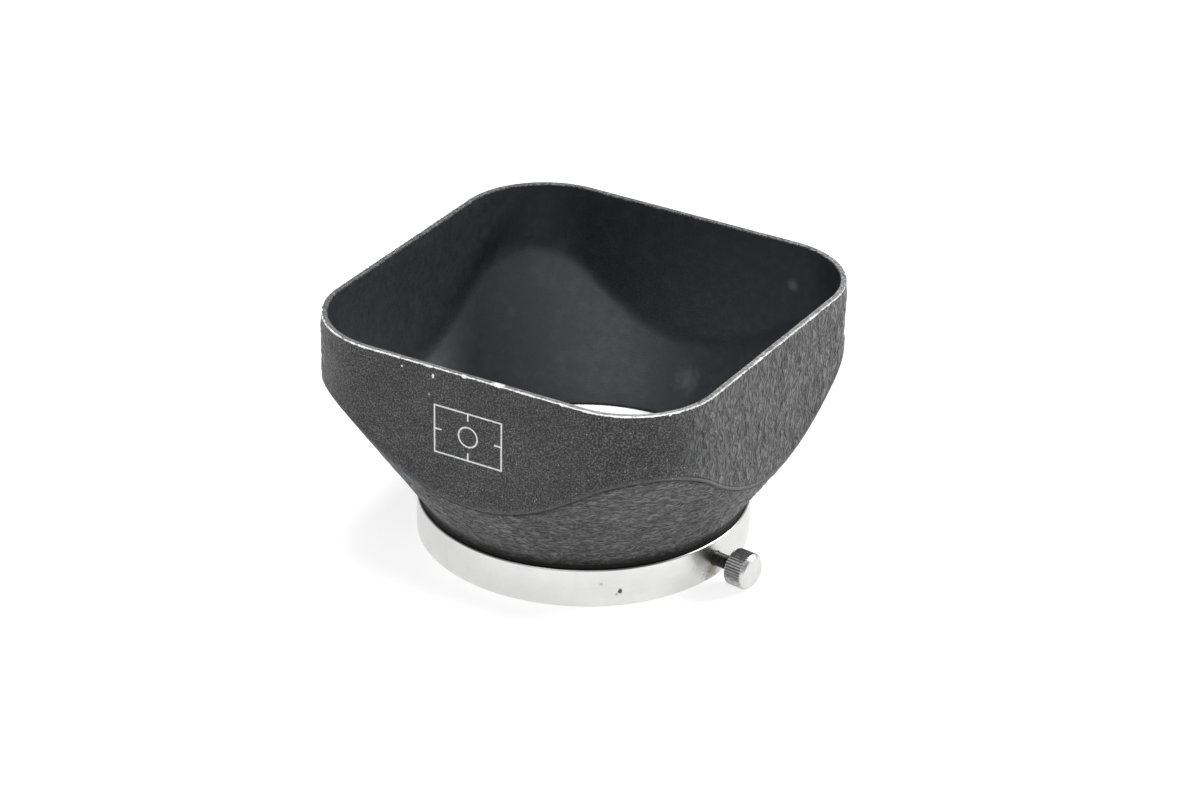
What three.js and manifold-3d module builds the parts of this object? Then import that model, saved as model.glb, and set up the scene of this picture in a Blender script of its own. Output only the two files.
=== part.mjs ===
// Slip-on lens hood: a pressed square shade on a turned collar, held on the lens barrel by a thumbscrew
// that pushes a spring leaf inwards. Millimetres, +Z towards the open front, origin at the centre of the
// collar's rear face. -Y is the face that carries the printed mark.
import * as THREE from 'three';
import { mergeVertices } from 'three/addons/utils/BufferGeometryUtils.js';
import Module from 'manifold-3d';

const wasm = await Module();
wasm.setup();

// ---- Driving dimensions ----
const BORE_R = 21.0; // slides over a 42 mm lens barrel
const COLLAR_R = 23.3;
const COLLAR_H = 5.8;
const COLLAR_CHAMFER = 0.3;
const TOP_CHAMFER = 0.15;
const JOINT_GAP = 0.05; // between faces that are clamped or pressed together

const SHADE_HALF = 29.6; // half the outer width of the square mouth
const SHADE_CORNER_R = 12.9;
const SHADE_TOP = 36.0;
const WALL = 0.85;
const NECK_R = 23.0;
const NECK_TOP = 7.01; // where the cone starts to widen
const CONE_SLOPE = 0.697; // radius gained per millimetre of height
const FLOOR_T = 0.8;
const FLOOR_HOLE_R = 21.0;

const NUT_THREAD_R = 20.9;
const NUT_BORE_R = 20.0;
const NUT_FLANGE_R = 21.95;
const NUT_FLANGE_T = 0.5;
const NUT_TAPER = 1.0; // how far the front face falls towards the bore
const NUT_DEPTH = 0.9; // how far the nut reaches down into the collar
const NUT_SLOT_W = 1.4;
const NUT_SLOT_DEPTH = 0.4;
const NUT_SLOT_ANGLE = 45;

const SCREW_ANGLE = -8; // degrees from +X, seen from the front
const SCREW_Z = 3.0;
const STUD_R = 1.0;
const STUD_HOLE_R = 1.1;
const STUD_SHOULDER = 0.3;
const STUD_KNOB_DEPTH = 1.6;
const TIP_R = 0.7; // the stud's tip is a small button that the shoe snaps over
const TIP_NECK_R = 0.45;
const TIP_T = 0.12;
const TIP_CLEARANCE = 0.07;
const KNOB_R = 2.6;
const KNOB_BACK = 26.5; // measured from the hood's axis
const KNOB_END = 29.6;
const KNOB_CHAMFER = 0.5;
const KNOB_BACK_CHAMFER = 0.15;
const KNURL_TEETH = 40;
const KNURL_DEPTH = 0.12;

const POCKET_FLOOR_R = 22.25;
const POCKET_Z = [0.8, 4.7];
const POCKET_MARGIN_ANGLE = 2.5; // past each end of the leaf
const LEAF_Z = [1.05, 4.45];
const LEAF_OUTER_R = 22.1;
const LEAF_T = 0.3;
const LEAF_SET = 2.25; // degrees that the leaf springs inwards when the screw is backed off
const LEAF_HINGE_ANGLE = 46;
const LEAF_FREE_ANGLE = -20;
const LEAF_TAIL_ANGLE = 48.4;
const LEAF_HOLE_R = 0.6;
const LEAF_HEAD_GAP = 0.15; // lets the leaf tilt under the rivet heads
const RIVET_Z = [1.95, 3.55];
const RIVET_SHANK_R = 0.4;
const RIVET_HOLE_R = 0.5;
const RIVET_HEAD_R = 0.72;
const RIVET_HEAD_T = 0.35;
const RIVET_HEAD_CHAMFER = 0.15;
const RIVET_SUNK = 0.02; // the rivet's closed end stops just short of the collar's surface

const SHOE_R = 1.3;
const SHOE_T = 0.6;
const SHOE_CHAMFER = 0.1;
const SHOE_FACE_T = 0.13; // metal between the stud's tip and the leaf
const SHOE_GAP = 0.1; // to the leaf in front of it and the pocket floor behind it

const ROUND = 96; // facets on the large round parts
const SMALL_ROUND = 24;
const CORNER_FACETS = 12;
const CUT = 1; // how far a cutting shape runs past what it cuts

// ---- Helpers ----
const radians = THREE.MathUtils.degToRad;

function polar(radius, degrees) {
  return new THREE.Vector2(radius * Math.cos(radians(degrees)), radius * Math.sin(radians(degrees)));
}

// A solid turned about +Z from its [radius, z] corners, given anticlockwise.
function turned(corners, facets = ROUND) {
  const closed = [...corners, corners[0]].map(([r, z]) => new THREE.Vector2(r, z));
  const geometry = new THREE.LatheGeometry(closed, facets);
  geometry.rotateX(Math.PI / 2);
  return geometry;
}

function plug(radius, bottom, top, facets = ROUND) {
  return turned([[0, bottom], [radius, bottom], [radius, top], [0, top]], facets);
}

function extruded(shape, bottom, top, curveSegments = CORNER_FACETS) {
  const geometry = new THREE.ExtrudeGeometry(shape, {
    depth: top - bottom,
    bevelEnabled: false,
    curveSegments,
  });
  geometry.translate(0, 0, bottom);
  return geometry;
}

function toSolid(geometry) {
  const bare = geometry.clone();
  bare.deleteAttribute('normal');
  bare.deleteAttribute('uv');
  const merged = mergeVertices(bare, 1e-5);
  const mesh = new wasm.Mesh({
    numProp: 3,
    vertProperties: Float32Array.from(merged.attributes.position.array),
    triVerts: Uint32Array.from(merged.index.array),
  });
  mesh.merge();
  return new wasm.Manifold(mesh);
}

function toGeometry(solid) {
  const mesh = solid.getMesh();
  const geometry = new THREE.BufferGeometry();
  geometry.setAttribute('position', new THREE.BufferAttribute(mesh.vertProperties, 3));
  geometry.setIndex(new THREE.BufferAttribute(mesh.triVerts, 1));
  geometry.computeVertexNormals();
  return geometry;
}

// Turns a piece made about +Z so that +Z points away from the hood's axis.
function pointOutwards(geometry, degrees, z) {
  geometry.rotateY(Math.PI / 2);
  geometry.translate(0, 0, z);
  geometry.rotateZ(radians(degrees));
  return geometry;
}

function radialHole(radius, degrees, z) {
  const drill = plug(radius, BORE_R - 2 * CUT, COLLAR_R + CUT, SMALL_ROUND);
  return toSolid(pointOutwards(drill, degrees, z));
}

function sector(innerR, outerR, fromAngle, toAngle) {
  const shape = new THREE.Shape();
  const start = polar(outerR, fromAngle);
  const inward = polar(innerR, toAngle);
  shape.moveTo(start.x, start.y);
  shape.absarc(0, 0, outerR, radians(fromAngle), radians(toAngle), false);
  shape.lineTo(inward.x, inward.y);
  shape.absarc(0, 0, innerR, radians(toAngle), radians(fromAngle), true);
  return shape;
}

function roundedSquare(half, cornerR) {
  const flat = half - cornerR;
  const shape = new THREE.Shape();
  shape.moveTo(half, -flat);
  shape.lineTo(half, flat);
  shape.absarc(flat, flat, cornerR, 0, Math.PI / 2, false);
  shape.lineTo(-flat, half);
  shape.absarc(-flat, flat, cornerR, Math.PI / 2, Math.PI, false);
  shape.lineTo(-half, -flat);
  shape.absarc(-flat, -flat, cornerR, Math.PI, 1.5 * Math.PI, false);
  shape.lineTo(flat, -half);
  shape.absarc(flat, -flat, cornerR, 1.5 * Math.PI, 2 * Math.PI, false);
  return shape;
}

function part(name, geometry, color, roughness, metalness) {
  const material = new THREE.MeshStandardMaterial({ color, roughness, metalness });
  const mesh = new THREE.Mesh(geometry, material);
  mesh.name = name;
  return mesh;
}

// ---- Shade: a square tube whose rear is cut to a cone, with a neck and a floor flange ----
const floorBottom = COLLAR_H + JOINT_GAP;
const floorTop = floorBottom + FLOOR_T;
const wallAcross = WALL * Math.hypot(1, CONE_SLOPE); // the cone's wall measured level

// The neck and the cone above it, moved inwards by shrink on the cone.
function coneEnvelope(neckR, bottom, top, shrink) {
  const coneStart = NECK_TOP + (neckR + shrink - NECK_R) / CONE_SLOPE;
  const topR = NECK_R - shrink + CONE_SLOPE * (top - NECK_TOP);
  return toSolid(turned([[0, bottom], [neckR, bottom], [neckR, coneStart], [topR, top], [0, top]]));
}

function hoodShell() {
  const above = SHADE_TOP + CUT;
  const outerSquare = extruded(roundedSquare(SHADE_HALF, SHADE_CORNER_R), floorBottom, SHADE_TOP);
  const innerSquare = extruded(roundedSquare(SHADE_HALF - WALL, SHADE_CORNER_R - WALL), floorTop, above);
  const outer = toSolid(outerSquare).intersect(coneEnvelope(NECK_R, floorBottom, above, 0));
  const inner = toSolid(innerSquare).intersect(coneEnvelope(NECK_R - WALL, floorTop, above, wallAcross));
  const floorHole = toSolid(plug(FLOOR_HOLE_R, floorBottom - CUT, floorTop + CUT));
  return toGeometry(outer.subtract(inner).subtract(floorHole));
}

// ---- Collar: the turned ring that slides over the lens barrel ----
function mountRing() {
  const c = COLLAR_CHAMFER;
  const t = TOP_CHAMFER;
  const ring = turned([
    [BORE_R + c, 0],
    [COLLAR_R - c, 0],
    [COLLAR_R, c],
    [COLLAR_R, COLLAR_H - t],
    [COLLAR_R - t, COLLAR_H],
    [BORE_R, COLLAR_H],
    [BORE_R, c],
  ]);
  const pocketFrom = LEAF_FREE_ANGLE - POCKET_MARGIN_ANGLE;
  const pocketTo = LEAF_TAIL_ANGLE + POCKET_MARGIN_ANGLE;
  const pocket = sector(BORE_R - CUT, POCKET_FLOOR_R, pocketFrom, pocketTo);
  let body = toSolid(ring).subtract(toSolid(extruded(pocket, POCKET_Z[0], POCKET_Z[1], 2 * CORNER_FACETS)));
  body = body.subtract(radialHole(STUD_HOLE_R, SCREW_ANGLE, SCREW_Z));
  for (const z of RIVET_Z) body = body.subtract(radialHole(RIVET_HOLE_R, LEAF_HINGE_ANGLE, z));
  return toGeometry(body);
}

// ---- Ring nut with a tapered front: clamps the shade's floor flange down on the collar ----
function retainingRing() {
  const skirtEnd = COLLAR_H - NUT_DEPTH;
  const flangeBottom = floorTop + JOINT_GAP;
  const flangeTop = flangeBottom + NUT_FLANGE_T;
  const ring = turned([
    [NUT_BORE_R, skirtEnd],
    [NUT_THREAD_R, skirtEnd],
    [NUT_THREAD_R, flangeBottom],
    [NUT_FLANGE_R, flangeBottom],
    [NUT_FLANGE_R, flangeTop - TOP_CHAMFER],
    [NUT_FLANGE_R - TOP_CHAMFER, flangeTop],
    [NUT_BORE_R, flangeTop - NUT_TAPER],
  ]);
  const slots = new THREE.BoxGeometry(2 * (NUT_FLANGE_R + CUT), NUT_SLOT_W, 2 * NUT_SLOT_DEPTH);
  slots.translate(0, 0, flangeTop);
  slots.rotateZ(radians(NUT_SLOT_ANGLE));
  return toGeometry(toSolid(ring).subtract(toSolid(slots)));
}

// ---- Spring leaf in the collar's pocket, riveted at one end, free under the screw ----
const leafMiddleR = LEAF_OUTER_R - LEAF_T / 2;

function clampLeaf() {
  const outline = sector(LEAF_OUTER_R - LEAF_T, LEAF_OUTER_R, LEAF_FREE_ANGLE, LEAF_TAIL_ANGLE);
  let leaf = toSolid(extruded(outline, LEAF_Z[0], LEAF_Z[1], 2 * CORNER_FACETS));
  for (const z of RIVET_Z) leaf = leaf.subtract(radialHole(LEAF_HOLE_R, LEAF_HINGE_ANGLE, z));
  const hinge = polar(leafMiddleR, LEAF_HINGE_ANGLE);
  const geometry = toGeometry(leaf);
  geometry.translate(-hinge.x, -hinge.y, 0);
  geometry.rotateZ(-radians(LEAF_SET));
  geometry.translate(hinge.x, hinge.y, 0);
  return geometry;
}

function leafRivet(z) {
  const headOuter = LEAF_OUTER_R - LEAF_T - LEAF_HEAD_GAP;
  const headInner = headOuter - RIVET_HEAD_T;
  const corners = [
    [0, headInner],
    [RIVET_HEAD_R - RIVET_HEAD_CHAMFER, headInner],
    [RIVET_HEAD_R, headInner + RIVET_HEAD_CHAMFER],
    [RIVET_HEAD_R, headOuter],
    [RIVET_SHANK_R, headOuter],
    [RIVET_SHANK_R, COLLAR_R - RIVET_SUNK],
    [0, COLLAR_R - RIVET_SUNK],
  ];
  return pointOutwards(turned(corners, SMALL_ROUND), LEAF_HINGE_ANGLE, z);
}

// ---- Thumbscrew: a knurled knob fixed on a threaded stud, with a shoe that swivels on its tip ----
const leafReach = leafMiddleR * Math.sin(radians(LEAF_HINGE_ANGLE - SCREW_ANGLE));
const leafUnderScrew = LEAF_OUTER_R - leafReach * radians(LEAF_SET);
const shoeInner = leafUnderScrew + SHOE_GAP;
const shoeOuter = shoeInner + SHOE_T;
const tipStart = shoeInner + SHOE_FACE_T + TIP_CLEARANCE;
const tipEnd = tipStart + TIP_T;

function thumbscrewStud() {
  const shankStart = shoeOuter + SHOE_GAP;
  const studEnd = KNOB_BACK + STUD_KNOB_DEPTH;
  const corners = [
    [0, tipStart],
    [TIP_R, tipStart],
    [TIP_R, tipEnd],
    [TIP_NECK_R, tipEnd],
    [TIP_NECK_R, shankStart],
    [STUD_R, shankStart + STUD_SHOULDER],
    [STUD_R, studEnd],
    [0, studEnd],
  ];
  return pointOutwards(turned(corners, SMALL_ROUND), SCREW_ANGLE, SCREW_Z);
}

function pressureShoe() {
  const socketR = TIP_R + TIP_CLEARANCE;
  const mouthR = TIP_NECK_R + TIP_CLEARANCE;
  const lip = tipEnd + TIP_CLEARANCE;
  const corners = [
    [0, shoeInner],
    [SHOE_R - SHOE_CHAMFER, shoeInner],
    [SHOE_R, shoeInner + SHOE_CHAMFER],
    [SHOE_R, shoeOuter],
    [mouthR, shoeOuter],
    [mouthR, lip],
    [socketR, lip],
    [socketR, shoeInner + SHOE_FACE_T],
    [0, shoeInner + SHOE_FACE_T],
  ];
  return pointOutwards(turned(corners, SMALL_ROUND), SCREW_ANGLE, SCREW_Z);
}

function knurlOutline() {
  const shape = new THREE.Shape();
  const steps = 2 * KNURL_TEETH;
  for (let i = 0; i < steps; i += 1) {
    const radius = i % 2 === 0 ? KNOB_R : KNOB_R - KNURL_DEPTH;
    const at = polar(radius, (360 * i) / steps);
    if (i === 0) shape.moveTo(at.x, at.y);
    else shape.lineTo(at.x, at.y);
  }
  shape.closePath();
  return shape;
}

function thumbscrewKnob() {
  const c = KNOB_CHAMFER;
  const b = KNOB_BACK_CHAMFER;
  const blank = turned(
    [
      [0, KNOB_BACK],
      [KNOB_R - b, KNOB_BACK],
      [KNOB_R, KNOB_BACK + b],
      [KNOB_R, KNOB_END - c],
      [KNOB_R - c, KNOB_END],
      [0, KNOB_END],
    ],
    2 * KNURL_TEETH,
  );
  const knurl = extruded(knurlOutline(), KNOB_BACK - CUT, KNOB_END + CUT);
  const socketEnd = KNOB_BACK + STUD_KNOB_DEPTH + JOINT_GAP;
  const socket = plug(STUD_R + JOINT_GAP, KNOB_BACK - CUT, socketEnd, SMALL_ROUND);
  const knob = toSolid(blank).intersect(toSolid(knurl)).subtract(toSolid(socket));
  return pointOutwards(toGeometry(knob), SCREW_ANGLE, SCREW_Z);
}

// ---- Assembly ----
const fixedParts = new THREE.Group();
fixedParts.add(
  part('hood_shell', hoodShell(), 0x3a3b3d, 0.55, 0.0),
  part('mount_ring', mountRing(), 0xd4d5d6, 0.3, 1.0),
  part('retaining_ring', retainingRing(), 0xc9cacb, 0.3, 1.0),
  part('leaf_rivet_lower', leafRivet(RIVET_Z[0]), 0xb9a26a, 0.4, 1.0),
  part('leaf_rivet_upper', leafRivet(RIVET_Z[1]), 0xb9a26a, 0.4, 1.0),
);

const clampParts = new THREE.Group();
clampParts.add(
  part('clamp_leaf', clampLeaf(), 0xb08a4a, 0.35, 1.0),
  part('pressure_shoe', pressureShoe(), 0xb9a26a, 0.4, 1.0),
  part('thumbscrew_stud', thumbscrewStud(), 0x4a4a4c, 0.4, 1.0),
  part('thumbscrew_knob', thumbscrewKnob(), 0xb4b4b2, 0.3, 1.0),
);

const hood = new THREE.Group();
hood.add(fixedParts, clampParts);

export default hood;
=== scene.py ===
"""Looks for the slip-on lens hood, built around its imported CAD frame. Lengths here are in
millimetres and become metres when a mesh is made; the meshes stand in the row frame, +Z towards
the open front. Directions round the hood are in degrees from +X towards +Y."""

import math

import bpy
import numpy as np
from mathutils import Matrix, Vector, noise


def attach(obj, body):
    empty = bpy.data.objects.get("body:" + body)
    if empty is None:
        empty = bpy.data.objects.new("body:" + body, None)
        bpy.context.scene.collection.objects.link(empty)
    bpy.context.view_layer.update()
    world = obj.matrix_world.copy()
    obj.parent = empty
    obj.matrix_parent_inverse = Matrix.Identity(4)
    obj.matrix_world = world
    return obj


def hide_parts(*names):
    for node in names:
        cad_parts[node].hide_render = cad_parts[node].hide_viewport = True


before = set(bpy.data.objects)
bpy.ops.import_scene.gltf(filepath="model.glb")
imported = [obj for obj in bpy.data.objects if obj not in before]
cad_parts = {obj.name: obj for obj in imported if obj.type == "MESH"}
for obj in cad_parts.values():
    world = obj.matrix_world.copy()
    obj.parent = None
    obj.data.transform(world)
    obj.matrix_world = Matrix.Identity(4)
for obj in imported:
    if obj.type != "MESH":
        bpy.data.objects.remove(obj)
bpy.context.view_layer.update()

MM = 0.001
TAU = 2 * math.pi
SHARP_DEGREES = 35

# ---- Dimensions shared with the CAD model ----
SHADE_HALF, SHADE_CORNER_R, SHADE_TOP, WALL = 29.6, 12.9, 36.0, 0.85
NECK_R, NECK_TOP, CONE_SLOPE = 23.0, 7.01, 0.697
FLOOR_BOTTOM, FLOOR_TOP, FLOOR_HOLE_R = 5.85, 6.65, 21.0
BORE_R, COLLAR_R, COLLAR_H = 21.0, 23.3, 5.8
COLLAR_CHAMFER, COLLAR_TOP_CHAMFER = 0.3, 0.15
POCKET_R, POCKET_Z, POCKET_ANGLES = 22.25, (0.8, 4.7), (-22.5, 50.9)
NUT_BORE_R, NUT_THREAD_R, NUT_FLANGE_R = 20.0, 20.9, 21.95
NUT_BOTTOM, NUT_SEAT, NUT_TOP, NUT_TAPER = 4.9, 6.7, 7.2, 1.0
NUT_SLOT_ANGLES, NUT_SLOT_HALF_WIDTH, NUT_SLOT_DEPTH, NUT_SLOT_R = (45, -135), 0.7, 0.4, 21
SCREW_ANGLE, SCREW_Z = -8.0, 3.0
STUD_R, STUD_HOLE_R = 1.0, 1.1
KNOB_R, KNOB_BACK, KNOB_END = 2.6, 26.5, 29.6
KNURL_TEETH, KNURL_DEPTH = 40, 0.13
THREAD_PITCH, THREAD_DEPTH = 0.4, 0.2
LEAF_Z, LEAF_OUTER_R, LEAF_T = (1.05, 4.45), 22.1, 0.3
LEAF_ANGLES, LEAF_HINGE_ANGLE, LEAF_SET = (-20.0, 48.4), 46.0, 2.25
RIVET_Z, RIVET_HOLE_R, LEAF_HOLE_R = (1.95, 3.55), 0.5, 0.6
SHOE_R, SHOE_T, SHOE_GAP, SHOE_FACE_T = 1.3, 0.6, 0.1, 0.13
TIP_R, TIP_NECK_R, TIP_T, TIP_CLEARANCE = 0.7, 0.45, 0.12, 0.07

# Where the shoe and the stud's tip stand along the screw, behind the set leaf
LEAF_HINGE_R = LEAF_OUTER_R - LEAF_T / 2
LEAF_REACH = LEAF_HINGE_R * math.sin(math.radians(LEAF_HINGE_ANGLE - SCREW_ANGLE))
SHOE_INNER = LEAF_OUTER_R - LEAF_REACH * math.radians(LEAF_SET) + SHOE_GAP
SHOE_OUTER = SHOE_INNER + SHOE_T
TIP_START = SHOE_INNER + SHOE_FACE_T + TIP_CLEARANCE
TIP_END = TIP_START + TIP_T


# ---- Mesh building ----
def build_mesh(
    name, rings, loop=False, attributes=None, band_slots=None, smooth=SHARP_DEGREES, caps=False
):
    """A closed surface through rings of points. A ring of one point is a pole. loop joins the
    last ring to the first; caps closes two open end rings. attributes gives values per point,
    band_slots a material slot per band of faces, smooth the angle from which an edge is sharp."""
    points = [p for ring in rings for p in np.atleast_2d(ring)]
    starts = np.cumsum([0] + [len(np.atleast_2d(ring)) for ring in rings])
    faces, slots = [], []
    bands = len(rings) if loop else len(rings) - 1
    for j in range(bands):
        k = (j + 1) % len(rings)
        a0, a1 = starts[j], starts[j + 1]
        b0, b1 = starts[k], starts[k + 1]
        count = max(a1 - a0, b1 - b0)
        for i in range(count):
            n = (i + 1) % count
            if a1 - a0 == 1:
                face = (a0, b0 + i, b0 + n)
            elif b1 - b0 == 1:
                face = (a0 + i, b0, a0 + n)
            else:
                face = (a0 + i, b0 + i, b0 + n, a0 + n)
            faces.append(tuple(int(v) for v in face))
            slots.append(band_slots[j] if band_slots else 0)
    if caps:
        for start, end in ((starts[0], starts[1]), (starts[-2], starts[-1])):
            cap = list(range(int(start), int(end)))
            faces.append(tuple(cap if start == starts[0] else cap[::-1]))
            slots.append(0)
    co = np.array(points, float)
    if signed_volume(co, faces) < 0:
        faces = [face[::-1] for face in faces]
    mesh = bpy.data.meshes.new(name)
    mesh.from_pydata((co * MM).tolist(), [], faces)
    mesh.polygons.foreach_set("material_index", slots)
    for key, values in (attributes or {}).items():
        layer = mesh.attributes.new(key, "FLOAT", "POINT")
        joined = np.concatenate([np.atleast_1d(v) for v in values])
        layer.data.foreach_set("value", joined.astype(np.float32))
    mesh.update()
    mesh.shade_smooth()
    mesh.set_sharp_from_angle(angle=math.radians(smooth))
    piece = bpy.data.objects.new(name, mesh)
    bpy.context.scene.collection.objects.link(piece)
    return piece


def signed_volume(co, faces):
    """Six times the volume inside the faces, negative if they face inwards."""
    total = 0.0
    for face in faces:
        a = co[face[0]]
        for i in range(1, len(face) - 1):
            total += float(np.dot(a, np.cross(co[face[i]], co[face[i + 1]])))
    return total


def weighted(piece):
    """Lets the large faces keep flat shading beside their small rounded edges."""
    modifier = piece.modifiers.new("weighted", "WEIGHTED_NORMAL")
    modifier.keep_sharp = True
    return piece


def drilled(piece, drills):
    """Cuts the drills out of the piece, and deletes them."""
    for drill in drills:
        modifier = piece.modifiers.new("drill", "BOOLEAN")
        modifier.operation = "DIFFERENCE"
        modifier.solver = "EXACT"
        modifier.object = drill
    depsgraph = bpy.context.evaluated_depsgraph_get()
    cut = bpy.data.meshes.new_from_object(piece.evaluated_get(depsgraph))
    piece.modifiers.clear()
    piece.data = cut
    for drill in drills:
        bpy.data.objects.remove(drill)
    cut.set_sharp_from_angle(angle=math.radians(SHARP_DEGREES))
    return piece


def rounded(corners, reaches, steps=3):
    """A closed outline of (r, z) corners, each one bent over its reach to both sides."""
    points = [np.array(c, float) for c in corners]
    count = len(points)
    outline = []
    for i, corner in enumerate(points):
        reach = reaches[i] if isinstance(reaches, (list, tuple)) else reaches
        if reach <= 0:
            outline.append(corner)
            continue
        before, after = points[i - 1] - corner, points[(i + 1) % count] - corner
        start = corner + before / np.linalg.norm(before) * reach
        end = corner + after / np.linalg.norm(after) * reach
        for t in np.linspace(0, 1, steps + 1):
            outline.append((1 - t) ** 2 * start + 2 * t * (1 - t) * corner + t * t * end)
    return outline


def circle(radius, z, angles):
    """Points round the Z axis. The radius and the height may differ from point to point."""
    return np.stack(
        [radius * np.cos(angles), radius * np.sin(angles), np.full_like(angles, z)], axis=1
    )


def spin(count):
    return np.arange(count) * TAU / count


def radial_frame(degrees, z):
    """Maps (across, up, along) to the row frame, along pointing out from the hood's axis."""
    a = math.radians(degrees)
    across = np.array([-math.sin(a), math.cos(a), 0])
    along = np.array([math.cos(a), math.sin(a), 0])
    up = np.array([0, 0, 1.0])
    base = np.array([0, 0, z])
    return lambda p: (
        base + np.outer(p[:, 0], across) + np.outer(p[:, 1], up) + np.outer(p[:, 2], along)
    )


def turned(name, profile, degrees, z, count, radius_at=None, **options):
    """A turned piece whose axis points out of the collar. profile is [(radius, along)] from pole
    to pole, and radius_at changes the radius round the piece."""
    place = radial_frame(degrees, z)
    angles = spin(count)
    rings = []
    for i, (radius, along) in enumerate(profile):
        if radius <= 0:
            rings.append(place(np.array([[0, 0, along]])))
            continue
        r = radius if radius_at is None else radius_at(i, radius, along, angles)
        rings.append(place(circle(r, along, angles)))
    return build_mesh(name, rings, **options)


def drill_at(radius, degrees, z):
    inner, outer = BORE_R - 2, COLLAR_R + 1
    profile = [(0, inner), (radius, inner), (radius, outer), (0, outer)]
    return turned("drill", profile, degrees, z, 40)


def smoothstep(low, high, x):
    t = np.clip((np.asarray(x, float) - low) / (high - low), 0, 1)
    return t * t * (3 - 2 * t)


def noise_at(points, size, seed):
    """Perlin noise, about -1 to 1, with features of the given size in millimetres."""
    offset = Vector((seed, seed * 0.7, -seed))
    scale = np.ones(3) / size
    return np.array([noise.noise(Vector(p * scale) + offset) for p in points])


def crinkles_at(points, size, seed):
    """-1 in narrow creases, 1 on the flat pillows between them."""
    return np.minimum(np.abs(noise_at(points, size, seed)) * 3.2, 1) * 2 - 1


# ---- Shade ----
COLUMNS = 720
# Heights and depths of the relief in the paint
CRINKLE_LIFT, SMALL_CRINKLE_LIFT, GRAIN_LIFT, BROAD_LIFT = 0.075, 0.05, 0.012, 0.04
BEAD_LIFT, GROOVE_DEPTH, GROOVE_CENTRE, NICK_DEPTH = 0.11, 0.075, -0.62, 0.09
# Distances from the crease and from the rim are followed this far
FAR = 5
# Material slots. The last three are painted shade at the neck, between the cone and the collar: a
# nearly black finish, then two less glossy copies of the paint
PAINT, INSIDE, NECK_SHADE, NECK_SHADED_PAINT, LOW_SHADED_PAINT = range(5)


def outline_radius(theta, inset):
    """Distance from the axis to the rounded square, moved inwards by inset, in direction theta."""
    half, corner = SHADE_HALF - inset, SHADE_CORNER_R - inset
    flat = half - corner
    quarter = math.pi / 2
    a = np.abs((theta + quarter / 2) % quarter - quarter / 2)
    on_flat = half / np.cos(a)
    toward = flat * (np.cos(a) + np.sin(a))
    on_corner = toward + np.sqrt(np.maximum(toward**2 - 2 * flat**2 + corner**2, 0))
    return np.where(half * np.tan(a) <= flat, on_flat, on_corner)


def even_columns():
    """Directions of the columns, a constant distance apart along the outline."""
    theta = np.linspace(0, TAU, 20001)
    r = outline_radius(theta, 0)
    x, y = r * np.cos(theta), r * np.sin(theta)
    length = np.concatenate([[0], np.cumsum(np.hypot(np.diff(x), np.diff(y)))])
    return np.interp(np.arange(COLUMNS) / COLUMNS * length[-1], length, theta)


def shade_rows(theta):
    """Rows of (r, z) from the floor's hole, up the outside, over the rim and back down the
    inside, and the first and last row of each corner's bend."""
    ones = np.ones_like(theta)
    wall_r = outline_radius(theta, 0)
    inner_r = outline_radius(theta, WALL)
    across = WALL * math.hypot(1, CONE_SLOPE)
    crease_z = NECK_TOP + (wall_r - NECK_R) / CONE_SLOPE
    inner_crease_z = NECK_TOP + (inner_r + across - NECK_R) / CONE_SLOPE
    inner_neck_r = NECK_R - WALL
    inner_neck_z = NECK_TOP + (inner_neck_r + across - NECK_R) / CONE_SLOPE
    # Each corner: radius, height, reach of its bend, rows in its bend
    corners = [
        (FLOOR_HOLE_R * ones, FLOOR_BOTTOM * ones, 0.08, 2),
        (NECK_R * ones, FLOOR_BOTTOM * ones, 0.10, 3),
        (NECK_R * ones, NECK_TOP * ones, 0.50, 6),
        (wall_r, crease_z, 0.32, 8),
        (wall_r, SHADE_TOP * ones, 0.16, 4),
        (inner_r, SHADE_TOP * ones, 0.16, 4),
        (inner_r, inner_crease_z, 1.6, 7),
        (inner_neck_r * ones, inner_neck_z * ones, 0.25, 3),
        (inner_neck_r * ones, FLOOR_TOP * ones, 0.15, 2),
        (FLOOR_HOLE_R * ones, FLOOR_TOP * ones, 0.08, 2),
    ]
    # After each corner: evenly spaced rows, then rows at these distances before the next bend
    near_crease = (1.5, 1.2, 0.95, 0.75, 0.6, 0.46, 0.34, 0.22, 0.1)
    near_rim = (0.9, 0.55, 0.32, 0.18, 0.08)
    even_rows = (1, 1, 32, 27, 2, 5, 6, 0, 1, 0)
    close_rows = {2: near_crease, 3: near_rim}
    count = len(corners)
    xy = [np.stack([r, z], axis=1) for r, z, _, _ in corners]
    starts, ends = [], []
    for i in range(count):
        before, after = xy[i - 1] - xy[i], xy[(i + 1) % count] - xy[i]
        reach = corners[i][2]
        starts.append(xy[i] + before / np.linalg.norm(before, axis=1)[:, None] * reach)
        ends.append(xy[i] + after / np.linalg.norm(after, axis=1)[:, None] * reach)
    rows, bends = [], []
    for i in range(count):
        first = len(rows)
        for t in np.linspace(0, 1, corners[i][3]):
            rows.append((1 - t) ** 2 * starts[i] + 2 * t * (1 - t) * xy[i] + t * t * ends[i])
        bends.append((first, len(rows) - 1))
        a, b = ends[i], starts[(i + 1) % count]
        length = np.linalg.norm(b - a, axis=1)
        closing = close_rows.get(i, ())
        last = 1 - (closing[0] if closing else 0) / length
        for k in range(even_rows[i]):
            t = (k + 1) / (even_rows[i] + 1) * last
            rows.append(a + (b - a) * t[:, None])
        for distance in closing:
            rows.append(a + (b - a) * (1 - distance / length)[:, None])
    return rows, bends, wall_r, crease_z


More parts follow.
